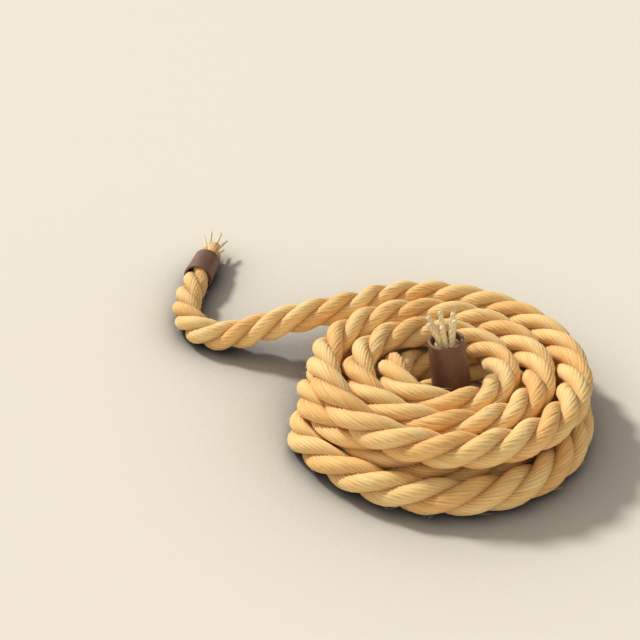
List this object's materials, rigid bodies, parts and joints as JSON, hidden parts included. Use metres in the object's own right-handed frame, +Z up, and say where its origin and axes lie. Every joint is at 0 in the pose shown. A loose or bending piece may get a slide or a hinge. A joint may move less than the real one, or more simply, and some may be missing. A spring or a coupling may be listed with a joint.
{
  "type": "coiled frayed rope",
  "caption": "Thick laid natural-fibre rope wound into a flat two-layer coil, with one end trailing away and both ends gripped by leather sleeves and frayed beyond them.",
  "frame": {"origin": "middle of the coil's flat underside, on the surface that the rope lies on", "axes": "+Z up, +X to the right, +Y away from the viewer, towards the free end's sleeve"},
  "size_m": [0.317, 0.3588, 0.078],
  "materials": {
    "manila_rope": "laid natural fibre, matte, golden tan",
    "brown_leather": "smooth dark-brown leather with a slight sheen",
    "loose_yarn": "loose pale manila yarn, matte"
  },
  "bodies": {
    "root": {"coil": "manila_rope", "tail_rope": "manila_rope", "centre_rope": "manila_rope", "tail_sleeve": "brown_leather", "centre_sleeve": "brown_leather", "tail_fray": "loose_yarn", "centre_fray": "loose_yarn"}
  },
  "joints": []
}
